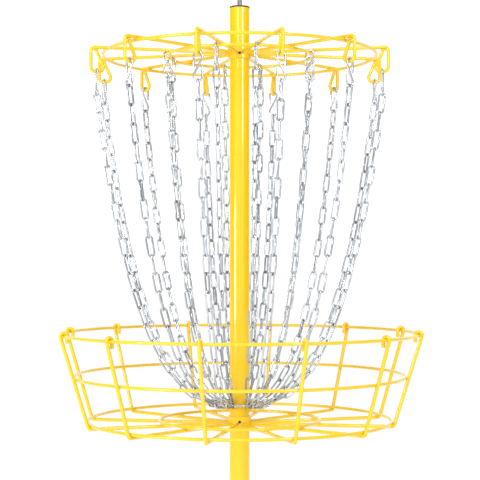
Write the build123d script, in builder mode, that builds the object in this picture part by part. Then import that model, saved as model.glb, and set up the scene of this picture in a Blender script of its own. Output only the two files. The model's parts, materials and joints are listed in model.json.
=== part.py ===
from build123d import *
import os
from math import asinh, atan2, atanh, cos, cosh, degrees, radians, sinh, sqrt

# Disc golf basket. The origin is on the ground under the pole's axis, +Z is up, and -Y is the
# side that the two set screws face. Sizes are in millimetres.

# ---- driving dimensions -------------------------------------------------------------------

# pole and its collars
pole_od = 38.1
pole_wall = 2.0
pole_top = 1442
slide_gap = 0.3                 # radial room between the pole and whatever turns or slides on it
collar_od = 45
collar_height = 20
collar_chamfer = 0.6
rod_above_collar_base = 11.2    # in the rack collar
rib_above_collar_base = 5.6     # in the tray collar
screw_below_spokes = 2.8        # between the axes, in the rack collar
screw_above_ribs = 4.6          # between the axes, in the tray collar
screw_tip_gap = 0.1
set_screw_d = 5
set_screw_length = 5

# plug and stud at the top of the pole
plug_rim = 3
plug_depth = 18
plug_gap = 0.05
plug_edge = 1
stud_d = 8.4
stud_thread_d = 8
stud_above_plug = 60
stud_below_plug = 14
stud_chamfer = 0.8
stud_nut_flats = 13
stud_nut_height = 6.5

# wire sizes
ring_wire = 6
rack_rod = 6.5
tray_rod = 7
weld_sink = 0.1                 # how far welded rods sink into each other
spoke_count = 12

# chain rack
rack_height = 1350              # height of the two rack rings' wire centre
rack_outer_r = 260.5
rack_inner_r = 139
rack_first_angle = 15
hook_outer_r = 286
hook_depth = 45                 # from the spoke's centre to the bottom bar's centre
hook_foot_r = 258               # sharp inner corner of the hook
hook_tip_r = 276
hook_tip_drop = 7.4
hook_bend = 8

# tray
rim_height = 820
rim_r = 340
floor_height = 655              # height of the two floor rings' wire centre
floor_outer_r = 289
floor_inner_r = 153.3
middle_height = 740
rib_tip_height = 807
tray_first_angle = 18.8

# S-hooks
s_hook_wire = 3.8
s_hook_length = 54
s_hook_half_width = 7.5         # from the middle to the wire's centre
s_hook_shoulder = 4             # height of the straight part between loop and spine
s_hook_spine_bend = 4
s_hook_flat = 0.1               # half of the short straight at the top of each loop
hang_gap = 0.02
outer_hang_r = 275
inner_hang_turn = -2.7          # the inner S-hooks rest against one side of their spokes

# chains and the ring that gathers them
link_wire = 3.5
link_inner_length = 34.15
link_outer_width = 14.5
link_play = 0.3
outer_link_count = 20
inner_link_count = 19
outer_end_links = 3             # links that lie still on the gathering ring
inner_end_links = 2
chain_ring_wire = 4
chain_ring_r = 27
ring_front_gap = 60             # no chain end rests on the ring's front within this angle
inner_pull = 50                 # how steeply the inner chains leave the ring
chain_ring_height = 684
quarter_turn = 90
front_angle = -90
narrowest_half = 0.01           # limits of a catenary's half span over its size
widest_half = 10
halvings = 60

# base
foot_height = 10
foot_d = 32
foot_saddle = 5
foot_chamfer = 1.5
base_tube_od = 25.4
base_tube_wall = 1.5
hoop_r = 250
cross_tube_count = 4
socket_top = 150
socket_floor = 4
lock_height = 110
lock_angle = 45
lock_bolt_d = 10
lock_bolt_reach = 46            # radius at which the bolt's head begins
lock_flats = 17
lock_head = 7
lock_nut = 8
thread_gap = 0.05

# ---- derived dimensions -------------------------------------------------------------------

pole_r = pole_od / 2
sleeve_r = pole_r + slide_gap
collar_r = collar_od / 2
rod_start_r = collar_r - weld_sink
screw_tip_r = sleeve_r + screw_tip_gap
spoke_height = rack_height + (ring_wire + rack_rod) / 2 - weld_sink
rack_collar_base = spoke_height - rod_above_collar_base
rack_screw_height = spoke_height - screw_below_spokes
rib_bend = (ring_wire + tray_rod) / 2 - weld_sink
rib_height = floor_height - rib_bend
tray_collar_base = rib_height - rib_above_collar_base
tray_screw_height = rib_height + screw_above_ribs
wall_lean = degrees(atan2(rim_r - floor_outer_r, rim_height - floor_height))
middle_r = floor_outer_r + (rim_r - floor_outer_r) * (middle_height - floor_height) / (
    rim_height - floor_height
)
link_pitch = link_inner_length - link_play
ring_touch = chain_ring_wire / 2 + link_play / 2
s_loop_height = s_hook_length / 2 - s_hook_wire / 2 - s_hook_half_width
s_inner_r = s_hook_half_width - s_hook_wire / 2
hoop_height = foot_height + base_tube_od / 2

os.makedirs("parts", exist_ok=True)


def save(piece, name):
    piece.label = name
    export_step(piece, f"parts/{name}.step")


def wire_ring(radius, height, wire):
    """A ring of round wire around the Z axis."""
    with BuildPart() as ring:
        with BuildSketch(Plane.XZ):
            with Locations((radius, height)):
                Circle(wire / 2)
        revolve(axis=Axis.Z)
    return ring.part


def around(piece, count, first_angle):
    """Copies of one piece, evenly spaced around the Z axis."""
    return [piece.rotate(Axis.Z, first_angle + 360 / count * step) for step in range(count)]


def group(pieces):
    """Separate solids that share one node."""
    return Compound(children=pieces)


# ---- base ---------------------------------------------------------------------------------

with BuildPart() as base_hoop:
    with BuildSketch(Plane.XZ):
        with Locations((hoop_r, hoop_height)):
            Circle(base_tube_od / 2)
            Circle(base_tube_od / 2 - base_tube_wall, mode=Mode.SUBTRACT)
    revolve(axis=Axis.Z)
save(base_hoop.part, "base_hoop")

with BuildPart() as cross_tube:
    with BuildSketch(Plane.YZ):
        with Locations((0, hoop_height)):
            Circle(base_tube_od / 2)
            Circle(base_tube_od / 2 - base_tube_wall, mode=Mode.SUBTRACT)
    extrude(amount=hoop_r)
    with BuildSketch():
        Circle(collar_r)
    extrude(amount=socket_top, mode=Mode.SUBTRACT)
    with BuildSketch(Plane.XZ):
        with Locations((hoop_r, hoop_height)):
            Circle(base_tube_od / 2)
    revolve(axis=Axis.Z, mode=Mode.SUBTRACT)
save(group(around(cross_tube.part, cross_tube_count, 0)), "base_cross_tubes")

lock_plane = Plane(
    origin=(0, 0, lock_height),
    z_dir=Vector(1, 0, 0).rotate(Axis.Z, lock_angle),
    x_dir=(0, 0, 1),
)
with BuildPart() as base_socket:
    with BuildSketch(Plane.XY.offset(foot_height + socket_floor)):
        Circle(collar_r)
        Circle(sleeve_r, mode=Mode.SUBTRACT)
    extrude(amount=socket_top - foot_height - socket_floor)
    with BuildSketch(lock_plane):
        Circle(lock_bolt_d / 2 + thread_gap)
    extrude(amount=collar_od, mode=Mode.SUBTRACT)
save(base_socket.part, "base_socket")

with BuildPart() as base_socket_floor:
    with BuildSketch(Plane.XY.offset(foot_height)):
        Circle(collar_r)
    extrude(amount=socket_floor)
save(base_socket_floor.part, "base_socket_floor")

with BuildPart() as base_foot:
    with BuildSketch():
        with Locations((hoop_r, 0)):
            Circle(foot_d / 2)
    extrude(amount=foot_height + foot_saddle)
    chamfer(base_foot.edges().group_by(Axis.Z)[0], foot_chamfer)
    with BuildSketch(Plane.XZ):
        with Locations((hoop_r, hoop_height)):
            Circle(base_tube_od / 2)
    revolve(axis=Axis.Z, mode=Mode.SUBTRACT)
    with BuildSketch(Plane.YZ):
        with Locations((0, hoop_height)):
            Circle(base_tube_od / 2)
    extrude(amount=hoop_r, mode=Mode.SUBTRACT)
save(group(around(base_foot.part, cross_tube_count, 0)), "base_feet")

with BuildPart() as base_lock_bolt:
    with BuildSketch(lock_plane.offset(screw_tip_r)):
        Circle(lock_bolt_d / 2)
    extrude(amount=lock_bolt_reach - screw_tip_r)
    with BuildSketch(lock_plane.offset(lock_bolt_reach)):
        RegularPolygon(lock_flats / 2, 6, major_radius=False)
    extrude(amount=lock_head)
save(base_lock_bolt.part, "base_lock_bolt")

with BuildPart() as base_lock_nut:
    with BuildSketch(lock_plane.offset(rod_start_r)):
        RegularPolygon(lock_flats / 2, 6, major_radius=False)
        Circle(lock_bolt_d / 2 + thread_gap, mode=Mode.SUBTRACT)
    extrude(amount=lock_nut)
save(base_lock_nut.part, "base_lock_nut")

# ---- pole ---------------------------------------------------------------------------------

pole_bottom = foot_height + socket_floor + slide_gap
with BuildPart() as pole:
    with BuildSketch(Plane.XY.offset(pole_bottom)):
        Circle(pole_r)
        Circle(pole_r - pole_wall, mode=Mode.SUBTRACT)
    extrude(amount=pole_top - pole_bottom)
save(pole.part, "pole")

with BuildPart() as pole_top_plug:
    with BuildSketch(Plane.XY.offset(pole_top - plug_depth)):
        Circle(pole_r - pole_wall - plug_gap)
    extrude(amount=plug_depth)
    with BuildSketch(Plane.XY.offset(pole_top)):
        Circle(pole_r)
    extrude(amount=plug_rim)
    fillet(pole_top_plug.edges().group_by(Axis.Z)[-1], plug_edge)
    with BuildSketch(Plane.XY.offset(pole_top - plug_depth)):
        Circle(stud_thread_d / 2 + thread_gap)
    extrude(amount=plug_depth + plug_rim, mode=Mode.SUBTRACT)
save(pole_top_plug.part, "pole_top_plug")

with BuildPart() as top_stud:
    with BuildSketch(Plane.XY.offset(pole_top - plug_depth - stud_below_plug)):
        Circle(stud_thread_d / 2)
    extrude(amount=stud_below_plug + plug_depth + plug_rim)
    with BuildSketch(Plane.XY.offset(pole_top + plug_rim)):
        Circle(stud_d / 2)
    extrude(amount=stud_above_plug)
    chamfer(top_stud.edges().group_by(Axis.Z)[-1], stud_chamfer)
save(top_stud.part, "top_stud")

with BuildPart() as top_stud_nut:
    with BuildSketch(Plane.XY.offset(pole_top - plug_depth - stud_nut_height)):
        RegularPolygon(stud_nut_flats / 2, 6, major_radius=False)
        Circle(stud_thread_d / 2 + thread_gap, mode=Mode.SUBTRACT)
    extrude(amount=stud_nut_height)
save(top_stud_nut.part, "top_stud_nut")


# ---- collars and set screws ---------------------------------------------------------------


def clamp_collar(base_height, screw_height):
    """A short tube round the pole with a screw hole on its -Y side."""
    with BuildPart() as collar:
        with BuildSketch(Plane.XY.offset(base_height)):
            Circle(collar_r)
            Circle(sleeve_r, mode=Mode.SUBTRACT)
        extrude(amount=collar_height)
        rims = collar.edges().filter_by(GeomType.CIRCLE).sort_by(SortBy.RADIUS)[-2:]
        chamfer(rims, collar_chamfer)
        with BuildSketch(Plane.XZ):
            with Locations((0, screw_height)):
                Circle(set_screw_d / 2 + thread_gap)
        extrude(amount=collar_od, mode=Mode.SUBTRACT)
    return collar.part


def set_screw(screw_height):
    """A socket set screw that lies along -Y in a collar's wall."""
    screw_end = screw_tip_r + set_screw_length
    with BuildPart() as screw:
        with BuildSketch(Plane.XZ.offset(screw_tip_r)):
            with Locations((0, screw_height)):
                Circle(set_screw_d / 2)
        extrude(amount=set_screw_length)
        with BuildSketch(Plane.XZ.offset(screw_end)):
            with Locations((0, screw_height)):
                RegularPolygon(set_screw_d / 4, 6, major_radius=False)
        extrude(amount=-set_screw_length / 2, mode=Mode.SUBTRACT)
    return screw.part


save(clamp_collar(rack_collar_base, rack_screw_height), "rack_collar")
save(set_screw(rack_screw_height), "rack_set_screw")
save(clamp_collar(tray_collar_base, tray_screw_height), "tray_collar")
save(set_screw(tray_screw_height), "tray_set_screw")

# ---- chain rack ---------------------------------------------------------------------------

save(wire_ring(rack_outer_r, rack_height, ring_wire), "rack_outer_ring")
save(wire_ring(rack_inner_r, rack_height, ring_wire), "rack_inner_ring")

# One straight rod, bent at its outer end into a closed hanging loop.
with BuildPart() as hook_spoke:
    with BuildLine(Plane.XZ) as hook_route:
        FilletPolyline(
            (rod_start_r, spoke_height),
            (hook_outer_r, spoke_height),
            (hook_outer_r, spoke_height - hook_depth),
            (hook_foot_r, spoke_height - hook_depth),
            (hook_tip_r, spoke_height - hook_tip_drop),
            radius=hook_bend,
        )
    with BuildSketch(Plane(origin=hook_route.line @ 0, z_dir=hook_route.line % 0)):
        Circle(rack_rod / 2)
    sweep()
save(group(around(hook_spoke.part, spoke_count, rack_first_angle)), "rack_hook_spokes")

# ---- tray ---------------------------------------------------------------------------------

save(wire_ring(rim_r, rim_height, ring_wire), "tray_rim")
save(wire_ring(middle_r, middle_height, ring_wire), "tray_middle_ring")
save(wire_ring(floor_outer_r, floor_height, ring_wire), "tray_bottom_ring")
save(wire_ring(floor_inner_r, floor_height, ring_wire), "tray_floor_ring")

# One rod from the collar, under the floor rings, up outside the wall and over the rim.
with BuildPart() as tray_rib:
    with BuildLine(Plane.XZ) as rib_route:
        Line((rod_start_r, rib_height), (floor_outer_r, rib_height))
        foot_arc = CenterArc((floor_outer_r, floor_height), rib_bend, -90, 90 - wall_lean)
        top_arc = CenterArc((rim_r, rim_height), rib_bend, -wall_lean, 180 + wall_lean)
        Line(foot_arc @ 1, top_arc @ 0)
        Line(top_arc @ 1, (rim_r - rib_bend, rib_tip_height))
    with BuildSketch(Plane.YZ.offset(rod_start_r)):
        with Locations((0, rib_height)):
            Circle(tray_rod / 2)
    sweep()
for number, rib in enumerate(around(tray_rib.part, spoke_count, tray_first_angle), start=1):
    save(rib, f"tray_rib_{number:02d}")

# ---- S-hooks ------------------------------------------------------------------------------

s_bend = s_hook_half_width - s_hook_flat
s_top = s_loop_height + s_hook_half_width
with BuildPart() as s_hook:
    with BuildLine(Plane.XZ) as s_route:
        FilletPolyline(
            (-s_hook_half_width, 0),
            (-s_hook_half_width, s_top),
            (s_hook_half_width, s_top),
            (s_hook_half_width, s_loop_height - s_hook_shoulder),
            (-s_hook_half_width, s_hook_shoulder - s_loop_height),
            (-s_hook_half_width, -s_top),
            (s_hook_half_width, -s_top),
            (s_hook_half_width, 0),
            radius=[s_bend, s_bend, s_hook_spine_bend, s_hook_spine_bend, s_bend, s_bend],
        )
    with BuildSketch(Plane(origin=s_route.line @ 0, z_dir=s_route.line % 0)):
        Circle(s_hook_wire / 2)
    sweep()

outer_bar_top = spoke_height - hook_depth + rack_rod / 2
outer_s_middle = outer_bar_top + hang_gap - s_inner_r - s_loop_height
inner_s_middle = rack_height + ring_wire / 2 + hang_gap - s_inner_r - s_loop_height
spoke_angles = [rack_first_angle + 360 / spoke_count * step for step in range(spoke_count)]
inner_spoke_angles = [angle for step, angle in enumerate(spoke_angles) if step % 3 != 1]


def hung_s_hooks(angles, turns, radius, height):
    """S-hooks with their middle at one radius and height, turned about their own upright axis."""
    hooks = []
    for angle, turn in zip(angles, turns):
        spot = Vector(radius, 0, height).rotate(Axis.Z, angle)
        hooks.append(s_hook.part.moved(Location(spot, (0, 0, angle + turn))))
    return group(hooks)


# The outer S-hooks hang in mirror image on the object's two sides.
outer_turns = [-quarter_turn if cos(radians(angle)) > 0 else quarter_turn for angle in spoke_angles]
outer_s_hooks = hung_s_hooks(spoke_angles, outer_turns, outer_hang_r, outer_s_middle)
inner_hang_angles = [angle + inner_hang_turn for angle in inner_spoke_angles]
inner_turns = [0] * len(inner_hang_angles)
inner_s_hooks = hung_s_hooks(inner_hang_angles, inner_turns, rack_inner_r, inner_s_middle)
save(outer_s_hooks, "outer_s_hooks")
save(inner_s_hooks, "inner_s_hooks")

# ---- chains -------------------------------------------------------------------------------

save(wire_ring(chain_ring_r, chain_ring_height, chain_ring_wire), "chain_ring")

# One straight-sided welded link, along X and flat in XY.
link_side = (link_outer_width - link_wire) / 2
link_straight = link_inner_length + link_wire - 2 * link_side
with BuildPart() as link:
    with BuildSketch(Plane.YZ.offset(-link_straight / 2)):
        with Locations((-link_side, 0), (link_side, 0)):
            Circle(link_wire / 2)
    extrude(amount=link_straight)
    for end in (-1, 1):
        end_x = end * link_straight / 2
        with BuildSketch(Plane.YZ.offset(end_x)):
            with Locations((-end * link_side, 0)):
                Circle(link_wire / 2)
        revolve(axis=Axis((end_x, 0, 0), (0, 0, 1)), revolution_arc=180)


def hanging_points(ring_point, hang_point, link_count):
    """Where the links of one hanging chain touch, from the hang point down to the ring.

    The chain hangs as a catenary in the upright plane through its two ends.
    """
    away = Vector(hang_point.X - ring_point.X, hang_point.Y - ring_point.Y, 0)
    span = away.length
    rise = hang_point.Z - ring_point.Z
    length = link_count * link_pitch
    slack = sqrt(length**2 - rise**2) / span
    low, high = narrowest_half, widest_half
    for _ in range(halvings):
        half = (low + high) / 2
        if sinh(half) / half < slack:
            low = half
        else:
            high = half
    curve = span / (2 * half)
    start = atanh(rise / length) - half
    points = []
    for step in range(link_count, -1, -1):
        place = asinh(sinh(start) + step * link_pitch / curve)
        out = curve * (place - start)
        up = curve * (cosh(place) - cosh(start))
        points.append(ring_point + away.normalized() * out + Vector(0, 0, up))
    return points


def chain_links(points, first_turn, twist):
    """One link between each two points, each a quarter turn and a little twist after the last."""
    flat = Vector(points[-1].X - points[0].X, points[-1].Y - points[0].Y, 0)
    sideways = Vector(0, 0, 1).cross(flat).normalized()
    links = []
    for step, (upper, lower) in enumerate(zip(points, points[1:])):
        along = lower - upper
        turn = first_turn + step * (quarter_turn + twist)
        normal = sideways.rotate(Axis((0, 0, 0), along), turn)
        place = Plane(origin=(upper + lower) / 2, x_dir=along, z_dir=normal)
        links.append(link.part.moved(place.location))
    return links


outer_hang_height = outer_s_middle - s_loop_height - s_inner_r + link_play / 2
inner_hang_height = inner_s_middle - s_loop_height - s_inner_r + link_play / 2


def ring_order(run):
    """Order round the gathering ring from the front, each inner chain before its outer one."""
    angle, kind = run
    from_front = (angle - front_angle) % 360
    aside = 1 if from_front < 180 else -1
    return from_front + (aside if kind == "outer" else 0)


chain_runs = [(angle, "outer") for angle in spoke_angles]
chain_runs += [(angle, "inner") for angle in inner_spoke_angles]
chain_runs.sort(key=ring_order)
slot_step = (360 - ring_front_gap) / (len(chain_runs) - 1)
end_links = []
numbers = {"outer": 0, "inner": 0}
for slot, (angle, kind) in enumerate(chain_runs):
    slot_angle = front_angle + ring_front_gap / 2 + slot_step * slot
    numbers[kind] += 1
    side = 1 if slot % 2 else -1
    if kind == "outer":
        hang_point = Vector(outer_hang_r, 0, outer_hang_height)
        link_count, kept, first_turn = outer_link_count, outer_end_links, 0
        pull = 0
    else:
        angle += inner_hang_turn
        hang_point = Vector(rack_inner_r, 0, inner_hang_height)
        link_count, kept, first_turn = inner_link_count, inner_end_links, quarter_turn
        pull = inner_pull
    hang_point = hang_point.rotate(Axis.Z, angle)
    # The chain pulls the ring outwards, so it touches the inside of the ring's wire.
    touch = Vector(-ring_touch, 0, 0).rotate(Axis.Y, -pull)
    ring_point = (Vector(chain_ring_r, 0, chain_ring_height) + touch).rotate(Axis.Z, slot_angle)
    # The first link follows its S-hook and the last one has to lie square to the ring.
    twist = side * quarter_turn / (link_count - 1)
    points = hanging_points(ring_point, hang_point, link_count)
    links = chain_links(points, first_turn, twist)
    moving = links[:-kept]
    end_links += links[-kept:]
    name = f"{kind}_chain_{numbers[kind]:02d}"
    save(group(moving), name)
    # The swinging part turns about the line from its S-hook to the first end link.
    for label, point in (("top", points[0]), ("foot", points[len(moving)])):
        print(name, label, *(round(value, 3) for value in point))
save(group(end_links), "chain_end_links")
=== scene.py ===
import json
import math
import random

import bpy
import numpy as np
from mathutils import Matrix, Vector


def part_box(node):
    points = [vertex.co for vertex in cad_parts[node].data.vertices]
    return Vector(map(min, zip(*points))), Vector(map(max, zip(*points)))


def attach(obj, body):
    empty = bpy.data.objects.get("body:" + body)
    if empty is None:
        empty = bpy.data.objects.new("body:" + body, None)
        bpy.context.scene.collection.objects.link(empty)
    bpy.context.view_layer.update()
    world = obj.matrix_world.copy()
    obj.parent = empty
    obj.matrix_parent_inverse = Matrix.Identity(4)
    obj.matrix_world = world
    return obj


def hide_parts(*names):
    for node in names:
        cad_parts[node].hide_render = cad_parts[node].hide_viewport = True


# Looks of the disc golf basket: powder-coated pole, tray and rack, and zinc-plated chains. Metres.

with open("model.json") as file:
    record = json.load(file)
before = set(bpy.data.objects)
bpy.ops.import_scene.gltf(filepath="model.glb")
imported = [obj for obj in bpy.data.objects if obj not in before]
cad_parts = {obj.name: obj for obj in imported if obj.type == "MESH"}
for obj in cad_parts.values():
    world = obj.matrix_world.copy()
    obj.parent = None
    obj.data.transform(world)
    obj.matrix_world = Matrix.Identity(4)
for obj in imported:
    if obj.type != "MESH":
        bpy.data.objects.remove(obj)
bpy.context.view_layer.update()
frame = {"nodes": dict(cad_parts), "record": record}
BODY_OF = {
    node: body
    for body, members in frame["record"]["behaviour"]["bodies"].items()
    for node in members
}

# ---- sizes that the frame's boxes don't give ----------------------------------------------

UP = (0, 0, 1)

WELD_SINK = 0.0001              # how far touching rods are sunk into each other
CUT_EDGE = 0.0007               # rounding where a rod is cut off
WIRE_SIDES = 12
S_HOOK_SIDES = 16
ROD_SIDES = 20
POLE_SIDES = 128
BEAD_SIDES = 8
BEND_STEP = math.radians(11)
SHARP_ANGLE = math.radians(50)

POLE_WALL = 0.002
POLE_EDGE = 0.0004

HOOK_DEPTH = 0.045              # rack hook: from the spoke's centre to its bottom bar's centre
HOOK_FOOT_RADIUS = 0.258
HOOK_TIP_RADIUS = 0.276
HOOK_TIP_DROP = 0.0074
HOOK_BEND = 0.008

S_HOOK_WIRE = 0.0038
S_HOOK_LENGTH = 0.054
S_HOOK_HALF_WIDTH = 0.0075
S_HOOK_SHOULDER = 0.004
S_HOOK_SPINE_BEND = 0.004
S_HOOK_LOOP_BEND = 0.0074
S_HOOK_LEG_SIDE = 0.7 * S_HOOK_HALF_WIDTH   # a triangle further out than this is on a straight leg

LINK_WIRE = 0.0035
LINK_WIDTH = 0.0145
LINK_LENGTH = 0.03415 + 2 * LINK_WIRE
LINK_WELD_LENGTH = 0.0032
LINK_WELD_BULGE = 0.00022
LINK_END_STEPS = 10             # flats round each half-circle end
RUB_AND_SHADE_STRENGTH = 1.1              # rub wear and painted shade where two links touch: how strong it starts
RUB_AND_SHADE_REACH = 0.75 * LINK_WIRE    # and over what distance it falls by 1
DULL_RARITY = 2.5               # the higher it is, the fewer dull links there are

TRAY_ROD_TIP_DROP = 0.013       # how far the rod's end hangs below the rim's centre

CROSS_TUBES = 4
CROSSING_BEAD = (0.0036, 0.0036, 0.0017)    # half sizes of the bead where two rods cross
TIP_BEAD = (0.0050, 0.0034, 0.0024)         # and of the bead on a rack hook's tip
TIP_BEAD_DROP = 0.72 * HOOK_TIP_DROP
ROD_BEAD = 0.0011               # half the thickness of the bead round a rod's end
TUBE_BEAD = 0.0022              # and round a base tube's end
BEAD_SINK = 0.0002
BEAD_RIPPLES = ((2, 0.07), (3, 0.05))       # waves round a bead's outline, and their size

# ---- mesh building ------------------------------------------------------------------------


def unit(vector):
    """A vector of length 1 in the same direction."""
    return vector / np.linalg.norm(vector)


class Shape:
    """Vertices and faces gathered for one piece."""

    def __init__(self):
        self.points = []
        self.faces = []

    def add_rings(self, rings, closed):
        """Quads between successive rings of points, and a cap on each end of an open run."""
        rings = np.asarray(rings)
        count, sides = rings.shape[:2]
        base = len(self.points)
        self.points += rings.reshape(-1, 3).tolist()
        for low in range(count if closed else count - 1):
            high = (low + 1) % count
            for side in range(sides):
                after = (side + 1) % sides
                corners = (low * sides + side, low * sides + after)
                corners += (high * sides + after, high * sides + side)
                self.faces.append([base + corner for corner in corners])
        if not closed:
            self.faces.append([base + side for side in reversed(range(sides))])
            last = base + (count - 1) * sides
            self.faces.append([last + side for side in range(sides)])

    def add_tube(self, route, radii, normal, closed=False, sides=WIRE_SIDES, cut=CUT_EDGE):
        """A round tube along a flat route; normal is square to the route's plane."""
        route = np.asarray(route, float)
        radii = np.broadcast_to(radii, len(route)).astype(float)
        if closed:
            tangents = np.roll(route, -1, axis=0) - np.roll(route, 1, axis=0)
        else:
            route, radii = self.rounded_ends(route, radii, cut)
            tangents = np.gradient(route, axis=0)
        tangents /= np.linalg.norm(tangents, axis=1)[:, None]
        normal = unit(np.asarray(normal, float))
        across = np.cross(normal, tangents)
        turns = np.linspace(0, 2 * math.pi, sides, endpoint=False)
        outward = np.cos(turns)[None, :, None] * normal
        outward = outward + np.sin(turns)[None, :, None] * across[:, None, :]
        self.add_rings(route[:, None, :] + radii[:, None, None] * outward, closed)

    @staticmethod
    def rounded_ends(route, radii, cut):
        """The route and radii with a small round added at each cut end."""
        steps = np.radians((0, 30, 60, 90))
        inward = cut * (1 - np.sin(steps))
        narrowing = cut * (1 - np.cos(steps))
        first = unit(route[1] - route[0])
        last = unit(route[-2] - route[-1])
        start = route[0] + first * inward[::-1, None]
        end = route[-1] + last * inward[:, None]
        route = np.vstack([start, route[1:-1], end])
        start_radii = radii[0] - narrowing[::-1]
        return route, np.concatenate([start_radii, radii[1:-1], radii[-1] - narrowing])

    def add_blob(self, centre, axes, radii, seed, sides=12, layers=7):
        """A slightly uneven rounded puddle of weld metal."""
        unevenness = np.random.default_rng(seed)
        axes = [unit(np.asarray(axis, float)) for axis in axes]
        turns = np.linspace(0, 2 * math.pi, sides, endpoint=False)
        ripple = 1
        for waves, size in BEAD_RIPPLES:
            ripple = ripple + size * np.sin(turns * waves + unevenness.uniform(0, 6))
        rings = []
        for tilt in np.linspace(-math.pi / 2, math.pi / 2, layers + 2)[1:-1]:
            flat = np.cos(turns)[:, None] * axes[0] * radii[0]
            flat = flat + np.sin(turns)[:, None] * axes[1] * radii[1]
            lift = math.sin(tilt) * radii[2] * axes[2]
            rings.append(centre + flat * (math.cos(tilt) * ripple)[:, None] + lift)
        self.add_rings(rings, closed=False)

    def add_lathe(self, profile, sides):
        """A closed profile of (radius, height) points turned about the Z axis."""
        turns = np.linspace(0, 2 * math.pi, sides, endpoint=False)
        around = np.stack([np.cos(turns), np.sin(turns), np.zeros(sides)], axis=1)
        rings = [around * radius + (0, 0, height) for radius, height in reversed(profile)]
        self.add_rings(rings, closed=True)


def mesh_of(name, shape, material):
    """A smooth mesh with sharp edges kept, in one material."""
    mesh = bpy.data.meshes.new(name)
    mesh.from_pydata(shape.points, [], shape.faces)
    mesh.shade_smooth()
    mesh.set_sharp_from_angle(angle=SHARP_ANGLE)
    mesh.materials.append(material)
    return mesh


def add_piece(name, mesh, body, nodes=(), place=None):
    """Puts a mesh in the scene as a piece that rides on a body and stands for some CAD nodes."""
    piece = bpy.data.objects.new(name, mesh)
    bpy.context.scene.collection.objects.link(piece)
    if place is not None:
        piece.matrix_world = place
    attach(piece, body)
    if nodes:
        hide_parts(*nodes)
    return piece


def arc(centre, radius, start, sweep):
    """Points (radius, height) along an arc, in degrees."""
    count = max(2, math.ceil(abs(math.radians(sweep)) / BEND_STEP))
    angles = np.radians(start + np.linspace(0, sweep, count + 1))
    return [
        (centre[0] + radius * math.cos(angle), centre[1] + radius * math.sin(angle))
        for angle in angles
    ]


def bent(corners, radii):
    """Points along a wire that runs straight between its corners and bends round at each."""
    corners = [np.asarray(corner, float) for corner in corners]
    route = [corners[0]]
    for before, corner, after, radius in zip(corners, corners[1:], corners[2:], radii):
        back, onward = unit(before - corner), unit(after - corner)
        half = math.acos(np.clip(back @ onward, -1, 1)) / 2
        middle = corner + unit(back + onward) * radius / math.sin(half)
        sweep = math.pi - 2 * half
        first = corner + back * radius / math.tan(half) - middle
        last = corner + onward * radius / math.tan(half) - middle
        count = max(2, math.ceil(sweep / BEND_STEP))
        for share in np.linspace(0, 1, count + 1):
            mixed = math.sin((1 - share) * sweep) * first + math.sin(share * sweep) * last
            route.append(middle + mixed / math.sin(sweep))
    route.append(corners[-1])
    return route


def upright(route, angle):
    """(radius, height) points set in the upright plane at an angle round the Z axis."""
    return [
        (radius * math.cos(angle), radius * math.sin(angle), height) for radius, height in route
    ]


def sideways_of(angle):
    """Level direction across the upright plane at an angle."""
    return (-math.sin(angle), math.cos(angle), 0)


def outward_of(angle):
    """Level direction away from the pole at an angle."""
    return (math.cos(angle), math.sin(angle), 0)


# ---- reading the frame --------------------------------------------------------------------

SAME_POINT_DIGITS = 6           # corners that agree to a micrometre are one point


def solids_of(node):
    """The triangles of each separate solid in a CAD node, as arrays of corner points."""
    mesh = frame["nodes"][node].data
    mesh.calc_loop_triangles()
    points = np.empty(len(mesh.vertices) * 3, np.float32)
    mesh.vertices.foreach_get("co", points)
    points = points.reshape(-1, 3).astype(float)
    triangles = np.empty(len(mesh.loop_triangles) * 3, np.int32)
    mesh.loop_triangles.foreach_get("vertices", triangles)
    joined = np.unique(np.round(points, SAME_POINT_DIGITS), axis=0, return_inverse=True)[1].ravel()
    corners = joined[triangles].reshape(-1, 3)
    labels = np.arange(joined.max() + 1)
    while True:
        lowest = labels.copy()
        np.minimum.at(lowest, corners.ravel(), np.repeat(labels[corners].min(axis=1), 3))
        lowest = lowest[lowest]
        if (lowest == labels).all():
            break
        labels = lowest
    owner = labels[corners[:, 0]]
    places = points[triangles].reshape(-1, 3, 3)
    return [places[owner == label] for label in np.unique(owner)]


def middle_and_axes(triangles):
    """Centre of a solid's surface, and its axes from the longest to the shortest."""
    edges = triangles[:, 1:] - triangles[:, :1]
    areas = np.linalg.norm(np.cross(edges[:, 0], edges[:, 1]), axis=1)
    middles = triangles.mean(axis=1)
    centre = (middles * areas[:, None]).sum(axis=0) / areas.sum()
    scatter = ((middles - centre) * areas[:, None]).T @ (middles - centre)
    axes = np.linalg.eigh(scatter)[1].T[::-1]
    return centre, axes


def angle_of(point):
    """Angle of a point round the Z axis."""
    return math.atan2(point[1], point[0])


def ring_size(node):
    """(radius, height, wire) of a ring of round wire."""
    low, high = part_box(node)
    wire = high.z - low.z
    return (high.x - low.x) / 2 - wire / 2, (high.z + low.z) / 2, wire


# ---- materials ----------------------------------------------------------------------------

NOISE_RANGE = (0.3, 0.7)        # most of a noise texture's values lie in this range
GRAINS_PER_MOTTLE = 8           # how much larger a black finish's mottle is than its grain


def new_material(name):
    """A material with its node tree and its shader."""
    material = bpy.data.materials.new(name)
    material.use_nodes = True
    tree = material.node_tree
    return material, tree, tree.nodes["Principled BSDF"]


def noise(tree, scale, detail=2.0):
    """A noise texture fixed to the piece; scale is in waves per metre."""
    place = tree.nodes.new("ShaderNodeTexCoord")
    texture = tree.nodes.new("ShaderNodeTexNoise")
    texture.inputs["Scale"].default_value = scale
    texture.inputs["Detail"].default_value = detail
    tree.links.new(place.outputs["Object"], texture.inputs["Vector"])
    return texture.outputs["Fac"]


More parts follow.
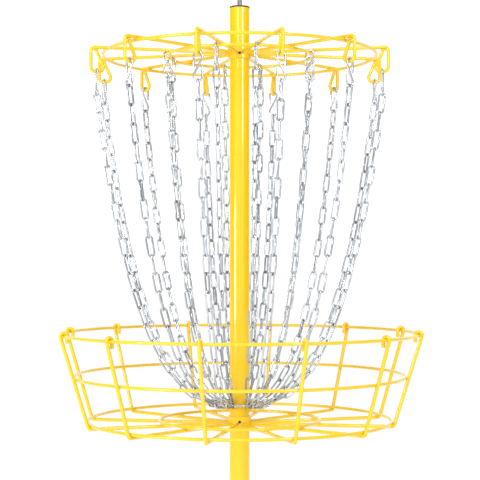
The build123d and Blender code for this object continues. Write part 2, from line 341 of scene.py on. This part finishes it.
def spread(tree, source, low, high):
    """A noise value stretched between two numbers."""
    stretch = tree.nodes.new("ShaderNodeMapRange")
    stretch.inputs["From Min"].default_value = NOISE_RANGE[0]
    stretch.inputs["From Max"].default_value = NOISE_RANGE[1]
    stretch.inputs["To Min"].default_value = low
    stretch.inputs["To Max"].default_value = high
    tree.links.new(source, stretch.inputs["Value"])
    return stretch.outputs["Result"]


def blend_colours(tree, share, first, second):
    """A colour between two colours, each a plain colour or another node's output."""
    mix = tree.nodes.new("ShaderNodeMix")
    mix.data_type = "RGBA"
    tree.links.new(share, mix.inputs["Factor"])
    for socket, colour in ((mix.inputs["A"], first), (mix.inputs["B"], second)):
        if isinstance(colour, tuple):
            socket.default_value = (*colour, 1)
        else:
            tree.links.new(colour, socket)
    return mix.outputs["Result"]


def add_bump(tree, shader, source, depth, strength):
    """Fine relief of a depth in metres."""
    bump = tree.nodes.new("ShaderNodeBump")
    bump.inputs["Distance"].default_value = depth
    bump.inputs["Strength"].default_value = strength
    tree.links.new(source, bump.inputs["Height"])
    tree.links.new(bump.outputs["Normal"], shader.inputs["Normal"])


def powder_coat():
    """Gloss yellow powder coat: a fine orange peel and a barely uneven tone."""
    material, tree, shader = new_material("yellow_powder_coat")
    tone = spread(tree, noise(tree, scale=14, detail=3), low=0, high=1)
    colour = blend_colours(tree, tone, (0.84, 0.535, 0.006), (0.81, 0.505, 0.005))
    tree.links.new(colour, shader.inputs["Base Color"])
    gloss = spread(tree, noise(tree, scale=40), low=0.16, high=0.22)
    tree.links.new(gloss, shader.inputs["Roughness"])
    shader.inputs["Specular IOR Level"].default_value = 0.3
    shader.inputs["Coat Weight"].default_value = 0.6
    shader.inputs["Coat Roughness"].default_value = 0.06
    add_bump(tree, shader, noise(tree, scale=500, detail=1), depth=0.00008, strength=0.15)
    return material


def zinc_plate():
    """Bright zinc plate: cloudy, some pieces duller, and rub wear with painted shade where links
    touch.
    """
    material, tree, shader = new_material("zinc_plated_steel")
    clouds = spread(tree, noise(tree, scale=60, detail=4), low=0, high=1)
    bright = blend_colours(tree, clouds, (0.67, 0.71, 0.75), (0.45, 0.49, 0.54))
    # The second dark colour is rub wear together with painted shade where one link touches the
    # next.
    dull_and_contact_shade_colours = {"dull": (0.30, 0.32, 0.35), "rub_wear_and_shade": (0.17, 0.18, 0.19)}
    for attribute_name, darker_colour in dull_and_contact_shade_colours.items():
        attribute = tree.nodes.new("ShaderNodeAttribute")
        attribute.attribute_name = attribute_name
        bright = blend_colours(tree, attribute.outputs["Fac"], bright, darker_colour)
    tree.links.new(bright, shader.inputs["Base Color"])
    gloss = spread(tree, noise(tree, scale=300), low=0.14, high=0.26)
    tree.links.new(gloss, shader.inputs["Roughness"])
    shader.inputs["Metallic"].default_value = 1
    add_bump(tree, shader, noise(tree, scale=1500), depth=0.00003, strength=0.4)
    return material


def dark_steel():
    """Bare darkened steel, streaky and half dull."""
    material, tree, shader = new_material("dark_steel")
    streaks = spread(tree, noise(tree, scale=180, detail=4), low=0, high=1)
    colour = blend_colours(tree, streaks, (0.17, 0.16, 0.155), (0.30, 0.28, 0.26))
    tree.links.new(colour, shader.inputs["Base Color"])
    gloss = spread(tree, noise(tree, scale=400), low=0.32, high=0.5)
    tree.links.new(gloss, shader.inputs["Roughness"])
    shader.inputs["Metallic"].default_value = 1
    add_bump(tree, shader, noise(tree, scale=1200, detail=3), depth=0.00005, strength=0.5)
    return material


def black_finish(name, grain, rough_low, rough_high, bump_depth):
    """Black plastic, rubber or oxide, told apart by grain and roughness."""
    material, tree, shader = new_material(name)
    mottle = spread(tree, noise(tree, scale=grain / GRAINS_PER_MOTTLE, detail=3), low=0, high=1)
    colour = blend_colours(tree, mottle, (0.018, 0.018, 0.019), (0.034, 0.033, 0.033))
    tree.links.new(colour, shader.inputs["Base Color"])
    gloss = spread(tree, noise(tree, scale=grain), rough_low, rough_high)
    tree.links.new(gloss, shader.inputs["Roughness"])
    add_bump(tree, shader, noise(tree, scale=grain), bump_depth, strength=0.5)
    return material


MATERIALS = {
    "yellow_powder_coat": powder_coat(),
    "zinc_plated_steel": zinc_plate(),
    "dark_steel": dark_steel(),
    "black_steel": black_finish("black_steel", 900, 0.35, 0.5, 0.00003),
    "black_plastic": black_finish("black_plastic", 1400, 0.42, 0.55, 0.00005),
    "rubber": black_finish("rubber", 700, 0.7, 0.85, 0.0001),
}
YELLOW = "yellow_powder_coat"
ZINC = "zinc_plated_steel"

# Every CAD node starts with its slot's finish; some are replaced by finer meshes below.
for subpart in frame["record"]["subparts"]:
    node = frame["nodes"][subpart["node"]]
    node.data.materials.clear()
    node.data.materials.append(MATERIALS[subpart["material_slot"]])

# ---- pole ---------------------------------------------------------------------------------

pole_low, pole_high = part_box("pole")
pole_radius = (pole_high.x - pole_low.x) / 2
bore = pole_radius - POLE_WALL
shape = Shape()
shape.add_lathe(
    arc((pole_radius - POLE_EDGE, pole_high.z - POLE_EDGE), POLE_EDGE, 0, 90)
    + arc((bore + POLE_EDGE, pole_high.z - POLE_EDGE), POLE_EDGE, 90, 90)
    + arc((bore + POLE_EDGE, pole_low.z + POLE_EDGE), POLE_EDGE, 180, 90)
    + arc((pole_radius - POLE_EDGE, pole_low.z + POLE_EDGE), POLE_EDGE, 270, 90),
    POLE_SIDES,
)
add_piece("pole_tube", mesh_of("pole_tube", shape, MATERIALS[YELLOW]), "pole", ["pole"])

# ---- tray rods ----------------------------------------------------------------------------

floor_radius, floor_height, floor_wire = ring_size("tray_bottom_ring")
inner_radius, _, _ = ring_size("tray_floor_ring")
middle_radius, middle_height, _ = ring_size("tray_middle_ring")
rim_radius, rim_height, rim_wire = ring_size("tray_rim")
collar_low, collar_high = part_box("tray_collar")
collar_radius = (collar_high.x - collar_low.x) / 2
rod_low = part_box("tray_rib_01")[0].z
tray_rod = floor_height - floor_wire / 2 + WELD_SINK - rod_low
rod_bend = (floor_wire + tray_rod) / 2 - WELD_SINK
rod_height = floor_height - rod_bend
wall_lean = math.degrees(math.atan2(rim_radius - floor_radius, rim_height - floor_height))

tray_rods = sorted(node for node in frame["nodes"] if node.startswith("tray_rib_"))
tray_angles = []
for node in tray_rods:
    solid = solids_of(node)[0]
    angle = angle_of(middle_and_axes(solid)[0])
    tray_angles.append(angle)
    route = [(collar_radius - WELD_SINK, rod_height)]
    route += arc((floor_radius, floor_height), rod_bend, -90, 90 - wall_lean)
    route += arc((rim_radius, rim_height), rod_bend, -wall_lean, 180 + wall_lean)
    route += [(rim_radius - rod_bend, rim_height - TRAY_ROD_TIP_DROP)]
    shape = Shape()
    shape.add_tube(upright(route, angle), tray_rod / 2, sideways_of(angle), sides=ROD_SIDES)
    name = node.replace("rib", "rod")
    add_piece(name, mesh_of(name, shape, MATERIALS[YELLOW]), "tray", [node])

# ---- rack spokes --------------------------------------------------------------------------

# The spokes start at the rack's collar, which is as wide as the tray's.
rack_radius, rack_height, rack_wire = ring_size("rack_outer_ring")
rack_inner_radius, _, _ = ring_size("rack_inner_ring")
spokes_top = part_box("rack_hook_spokes")[1].z
spoke_wire = spokes_top - rack_height - rack_wire / 2 + WELD_SINK
spoke_height = spokes_top - spoke_wire / 2
spoke_angles = []
for number, solid in enumerate(solids_of("rack_hook_spokes"), start=1):
    centre, _ = middle_and_axes(solid)
    angle = angle_of(centre)
    spoke_angles.append(angle)
    hook_radius = np.linalg.norm(solid[:, :, :2], axis=2).max() - spoke_wire / 2
    corners = [
        (collar_radius - WELD_SINK, spoke_height),
        (hook_radius, spoke_height),
        (hook_radius, spoke_height - HOOK_DEPTH),
        (HOOK_FOOT_RADIUS, spoke_height - HOOK_DEPTH),
        (HOOK_TIP_RADIUS, spoke_height - HOOK_TIP_DROP),
    ]
    shape = Shape()
    route = upright(bent(corners, [HOOK_BEND] * 3), angle)
    shape.add_tube(route, spoke_wire / 2, sideways_of(angle), sides=ROD_SIDES)
    name = f"rack_spoke_{number:02d}"
    add_piece(name, mesh_of(name, shape, MATERIALS[YELLOW]), "rack", ["rack_hook_spokes"])

# ---- weld beads ---------------------------------------------------------------------------


def add_crossing_bead(shape, spot, angle, along, face, seed):
    """A bead on the touching point of two rods; every direction is (radius, height)."""
    place, along, face = (np.array(point) for point in upright([spot, along, face], angle))
    shape.add_blob(place, (along, sideways_of(angle), face), CROSSING_BEAD, seed)


def add_end_bead(shape, wall_radius, height, angle, rod_radius, bead):
    """The bead round a rod's or tube's end where it meets an upright round surface."""
    turns = np.linspace(0, 2 * math.pi, ROD_SIDES, endpoint=False)
    depth = wall_radius - np.sqrt(wall_radius ** 2 - (rod_radius * np.cos(turns)) ** 2)
    heights = height + rod_radius * np.sin(turns)
    rim = np.array(upright(zip(wall_radius - depth + BEAD_SINK, heights), angle))
    rim += rod_radius * np.cos(turns)[:, None] * np.array(sideways_of(angle))
    shape.add_tube(rim, bead, outward_of(angle), closed=True, sides=BEAD_SIDES)


def add_hoop_bead(shape, hoop_radius, height, angle, tube_radius):
    """The bead where a cross tube meets the inner side of a hoop of the same tube."""
    turns = np.linspace(0, 2 * math.pi, 2 * ROD_SIDES, endpoint=False)
    radii = hoop_radius - BEAD_SINK - tube_radius * np.abs(np.cos(turns))
    rim = np.array(upright(zip(radii, height + tube_radius * np.sin(turns)), angle))
    rim += tube_radius * np.cos(turns)[:, None] * np.array(sideways_of(angle))
    shape.add_tube(rim, TUBE_BEAD, outward_of(angle), closed=True, sides=BEAD_SIDES)


def add_bead_piece(name, shape, body):
    """All the weld beads of one welded assembly."""
    add_piece(name, mesh_of(name, shape, MATERIALS[YELLOW]), body)


shape = Shape()
for number, angle in enumerate(spoke_angles):
    for radius in (rack_radius, rack_inner_radius):
        spot = (radius, rack_height + rack_wire / 2)
        add_crossing_bead(shape, spot, angle, (1, 0), (0, 1), number)
    tip = upright([(HOOK_TIP_RADIUS, spoke_height - TIP_BEAD_DROP)], angle)[0]
    axes = (outward_of(angle), sideways_of(angle), UP)
    shape.add_blob(np.array(tip), axes, TIP_BEAD, number + len(spoke_angles))
    add_end_bead(shape, collar_radius, spoke_height, angle, spoke_wire / 2, ROD_BEAD)
add_bead_piece("rack_weld_beads", shape, "rack")

shape = Shape()
lean = math.radians(wall_lean)
wall_face = (math.cos(lean), -math.sin(lean))
wall_along = (math.sin(lean), math.cos(lean))
for number, angle in enumerate(tray_angles):
    for radius in (floor_radius, inner_radius):
        spot = (radius, floor_height - floor_wire / 2)
        add_crossing_bead(shape, spot, angle, (1, 0), (0, 1), number)
    for radius, height in ((middle_radius, middle_height), (rim_radius, rim_height)):
        spot = (radius + wall_face[0] * rim_wire / 2, height + wall_face[1] * rim_wire / 2)
        add_crossing_bead(shape, spot, angle, wall_along, wall_face, number + len(tray_angles))
    add_end_bead(shape, collar_radius, rod_height, angle, tray_rod / 2, ROD_BEAD)
add_bead_piece("tray_weld_beads", shape, "tray")

shape = Shape()
hoop_radius, hoop_height, hoop_tube = ring_size("base_hoop")
socket_low, socket_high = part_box("base_socket")
socket_radius = (socket_high.x - socket_low.x) / 2
for number in range(CROSS_TUBES):
    angle = number * 2 * math.pi / CROSS_TUBES
    add_end_bead(shape, socket_radius, hoop_height, angle, hoop_tube / 2, TUBE_BEAD)
    add_hoop_bead(shape, hoop_radius, hoop_height, angle, hoop_tube / 2)
add_bead_piece("base_weld_beads", shape, "base")

# ---- S-hooks ------------------------------------------------------------------------------

loop_height = S_HOOK_LENGTH / 2 - S_HOOK_WIRE / 2 - S_HOOK_HALF_WIDTH
s_top = loop_height + S_HOOK_HALF_WIDTH
s_bends = [S_HOOK_LOOP_BEND] * 2 + [S_HOOK_SPINE_BEND] * 2 + [S_HOOK_LOOP_BEND] * 2
s_route = bent(
    [
        (-S_HOOK_HALF_WIDTH, 0, 0),
        (-S_HOOK_HALF_WIDTH, 0, s_top),
        (S_HOOK_HALF_WIDTH, 0, s_top),
        (S_HOOK_HALF_WIDTH, 0, loop_height - S_HOOK_SHOULDER),
        (-S_HOOK_HALF_WIDTH, 0, S_HOOK_SHOULDER - loop_height),
        (-S_HOOK_HALF_WIDTH, 0, -s_top),
        (S_HOOK_HALF_WIDTH, 0, -s_top),
        (S_HOOK_HALF_WIDTH, 0, 0),
    ],
    s_bends,
)


def free_leg_side(corners, across):
    """Side, 1 or -1, that an S-hook's upper free leg is on, from its triangles round its middle."""
    aside = corners @ across
    heights = corners[:, :, 2]
    crossing = (heights.min(axis=1) < S_HOOK_SHOULDER) & (heights.max(axis=1) > S_HOOK_SHOULDER)
    leg = crossing & (np.abs(aside).min(axis=1) > S_HOOK_LEG_SIDE)
    return 1 if aside[leg].mean() > 0 else -1


shape = Shape()
shape.add_tube(s_route, S_HOOK_WIRE / 2, (0, 1, 0), sides=S_HOOK_SIDES)
s_hook_mesh = mesh_of("s_hook", shape, MATERIALS[ZINC])
for node in ("outer_s_hooks", "inner_s_hooks"):
    for number, solid in enumerate(solids_of(node), start=1):
        centre, axes = middle_and_axes(solid)
        across = unit(np.cross(axes[2], UP))
        across = -across * free_leg_side(solid - centre, across)
        rows = [(*across, 0), (*np.cross(UP, across), 0), (*UP, 0), (*centre, 1)]
        place = Matrix(rows).transposed()
        name = f"{node[:-1]}_{number:02d}"
        add_piece(name, s_hook_mesh, "rack", [node], place)

# ---- chains -------------------------------------------------------------------------------


def link_template():
    """One welded link along X, flat in XY, and its rub wear and painted shade at each point."""
    bend = (LINK_WIDTH - LINK_WIRE) / 2
    straight = LINK_LENGTH / 2 - LINK_WIRE / 2 - bend
    half_circle = np.linspace(-math.pi / 2, math.pi / 2, LINK_END_STEPS + 1)
    right = [(straight + bend * math.cos(turn), bend * math.sin(turn), 0) for turn in half_circle]
    left = [(-x, -y, 0) for x, y, _ in right]
    weld_share = np.array((-1.0, -0.6, 0, 0.6, 1.0))
    weld = [(-share * LINK_WELD_LENGTH / 2, bend, 0) for share in weld_share]
    route = np.array(right + weld + left)
    radii = np.full(len(route), LINK_WIRE / 2)
    radii[len(right) + 1:len(right) + 4] += LINK_WELD_BULGE
    shape = Shape()
    shape.add_tube(route, radii, (0, 0, 1), closed=True)
    points = np.array(shape.points)
    inside_end = straight + bend - LINK_WIRE / 2
    from_end = np.hypot(np.abs(points[:, 0]) - inside_end, points[:, 1])
    # Painted shade with rub wear: darker on the inside of each end, where the next link touches it.
    rub_wear_and_shade = np.clip(RUB_AND_SHADE_STRENGTH - from_end / RUB_AND_SHADE_REACH, 0, 1)
    return points, shape.faces, rub_wear_and_shade


LINK_POINTS, LINK_FACES, LINK_RUB_WEAR_AND_SHADE = link_template()
LEFT_OR_RIGHT = np.array((0.62, 0.54, 0.57))    # a slanting direction that no link lies square to


def chain_mesh(name, node):
    """All the links of one CAD node, each set where its solid is."""
    shape = Shape()
    rub_wear_and_shade = []
    dull = []
    unevenness = random.Random(name)
    for solid in solids_of(node):
        centre, axes = middle_and_axes(solid)
        along = axes[0] * (1 if axes[0][2] > 0 else -1)
        across = axes[1] * (1 if axes[1] @ LEFT_OR_RIGHT > 0 else -1)
        turned = np.stack([along, across, np.cross(along, across)])
        base = len(shape.points)
        shape.points += (LINK_POINTS @ turned + centre).tolist()
        shape.faces += [[base + corner for corner in face] for face in LINK_FACES]
        rub_wear_and_shade.append(LINK_RUB_WEAR_AND_SHADE)
        dull.append(np.full(len(LINK_POINTS), unevenness.random() ** DULL_RARITY))
    mesh = mesh_of(name, shape, MATERIALS[ZINC])
    # The first attribute carries the painted contact shade and rub wear; the second, the random
    # dull links.
    for attribute_name, values in (("rub_wear_and_shade", rub_wear_and_shade), ("dull", dull)):
        attribute = mesh.attributes.new(attribute_name, "FLOAT", "POINT")
        attribute.data.foreach_set("value", np.concatenate(values).astype(np.float32))
    return mesh


for node in sorted(frame["nodes"]):
    if "_chain_" in node or node == "chain_end_links":
        name = node + "_links"
        add_piece(name, chain_mesh(name, node), BODY_OF[node], [node])

# ---- stage, lights and camera -------------------------------------------------------------

FLOOR_RADIUS = 40
FLOOR_SINK = 0.0002
FLOOR_GLOW = 0.12
STUDIO_WHITE = 1.12
CARD_BRIGHTNESS = 0.10          # of the dark cards to the left and right of the basket
CARD_EDGES = (0.66, 0.84)       # how far to the side a direction points where a card fades in
LAMP_AIM = Vector((0, 0, 1.1))
CAMERA_DISTANCE = 2.496
CAMERA_HEIGHT = 0.956
CAMERA_LENS = 97.8              # millimetres, for a sensor 36 mm wide
CAMERA_SHIFT = (0.0008, 0.0466)


def add_floor():
    """A plain pale floor that reaches the horizon."""
    shape = Shape()
    turns = np.linspace(0, 2 * math.pi, POLE_SIDES, endpoint=False)
    shape.points = [
        (FLOOR_RADIUS * math.cos(turn), FLOOR_RADIUS * math.sin(turn), -FLOOR_SINK)
        for turn in turns
    ]
    shape.faces = [list(range(POLE_SIDES))]
    material, tree, shader = new_material("pale_floor")
    tone = spread(tree, noise(tree, scale=3), low=0, high=1)
    colour = blend_colours(tree, tone, (0.90, 0.90, 0.90), (0.92, 0.92, 0.92))
    tree.links.new(colour, shader.inputs["Base Color"])
    shader.inputs["Roughness"].default_value = 0.8
    shader.inputs["Specular IOR Level"].default_value = 0.1
    shader.inputs["Emission Color"].default_value = (1, 1, 1, 1)
    shader.inputs["Emission Strength"].default_value = FLOOR_GLOW
    floor = bpy.data.objects.new("floor", mesh_of("floor", shape, material))
    bpy.context.scene.collection.objects.link(floor)


def add_studio():
    """A white studio, with a dark card on each side that gives the wires their grey edges.

    The cards only light the basket and show in its gloss: the backdrop itself is white.
    """
    world = bpy.data.worlds.new("studio")
    world.use_nodes = True
    tree = world.node_tree
    direction = tree.nodes.new("ShaderNodeTexCoord")
    axes = tree.nodes.new("ShaderNodeSeparateXYZ")
    tree.links.new(direction.outputs["Generated"], axes.inputs["Vector"])
    sideways = tree.nodes.new("ShaderNodeMath")
    sideways.operation = "ABSOLUTE"
    tree.links.new(axes.outputs["X"], sideways.inputs[0])
    card = tree.nodes.new("ShaderNodeMapRange")
    card.interpolation_type = "SMOOTHSTEP"
    card.inputs["From Min"].default_value = CARD_EDGES[0]
    card.inputs["From Max"].default_value = CARD_EDGES[1]
    card.inputs["To Min"].default_value = STUDIO_WHITE
    card.inputs["To Max"].default_value = CARD_BRIGHTNESS
    tree.links.new(sideways.outputs["Value"], card.inputs["Value"])
    ray = tree.nodes.new("ShaderNodeLightPath")
    backdrop = tree.nodes.new("ShaderNodeMix")
    tree.links.new(ray.outputs["Is Camera Ray"], backdrop.inputs["Factor"])
    tree.links.new(card.outputs["Result"], backdrop.inputs["A"])
    backdrop.inputs["B"].default_value = STUDIO_WHITE
    background = tree.nodes["Background"]
    background.inputs["Color"].default_value = (1, 1, 1, 1)
    tree.links.new(backdrop.outputs["Result"], background.inputs["Strength"])
    bpy.context.scene.world = world


def add_softbox(name, azimuth, distance, height, size, power):
    """A soft light that faces the basket; azimuth is in degrees, from the camera to its right."""
    data = bpy.data.lights.new(name, "AREA")
    data.shape = "RECTANGLE"
    data.size, data.size_y = size
    data.energy = power
    lamp = bpy.data.objects.new(name, data)
    turn = math.radians(azimuth)
    lamp.location = (distance * math.sin(turn), -distance * math.cos(turn), height)
    lamp.rotation_euler = (LAMP_AIM - lamp.location).to_track_quat("-Z", "Y").to_euler()
    bpy.context.scene.collection.objects.link(lamp)


def add_camera():
    """A level camera on the -Y side; its shift brings the basket's upper part into the frame."""
    camera = bpy.data.objects.new("camera", bpy.data.cameras.new("camera"))
    camera.location = (0, -CAMERA_DISTANCE, CAMERA_HEIGHT)
    camera.rotation_euler = (math.radians(90), 0, 0)
    camera.data.lens = CAMERA_LENS
    camera.data.sensor_width = 36
    camera.data.shift_x, camera.data.shift_y = CAMERA_SHIFT
    bpy.context.scene.collection.objects.link(camera)
    bpy.context.scene.camera = camera


add_floor()
add_studio()
add_softbox("right_softbox", azimuth=36, distance=2.4, height=2.0, size=(0.4, 0.9), power=20)
add_softbox("left_softbox", azimuth=-20, distance=2.6, height=2.45, size=(0.5, 1.1), power=14)
add_softbox("side_softbox", azimuth=-52.5, distance=2.8, height=1.02, size=(0.8, 0.55), power=32)
add_camera()
bpy.context.scene.view_settings.view_transform = "Standard"
